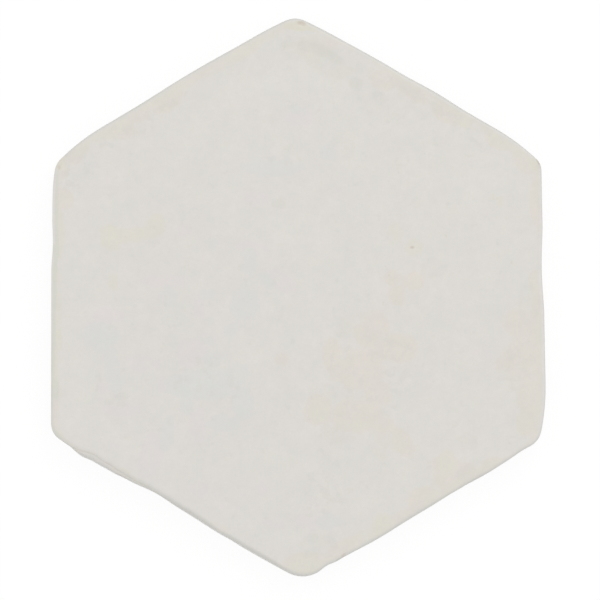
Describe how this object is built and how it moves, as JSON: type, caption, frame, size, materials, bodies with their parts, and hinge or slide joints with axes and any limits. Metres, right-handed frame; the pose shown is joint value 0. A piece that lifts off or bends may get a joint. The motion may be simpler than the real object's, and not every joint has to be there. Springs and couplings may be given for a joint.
{
  "type": "hexagon floor tile",
  "caption": "Hand-made hexagonal floor tile with wavering edges, a rolled arris, a gently crowned face and a satin off-white glaze.",
  "frame": {"origin": "centre of the bed, the flat underside", "axes": "+Z out of the glazed face, +Y towards one corner of the hexagon, +X across two parallel sides"},
  "size_m": [0.1506, 0.1699, 0.012],
  "materials": {
    "glaze": "satin off-white glaze, thinner and creamier at the edges, over a buff clay body"
  },
  "bodies": {
    "root": {"hexagon_tile": "glaze"}
  },
  "joints": []
}
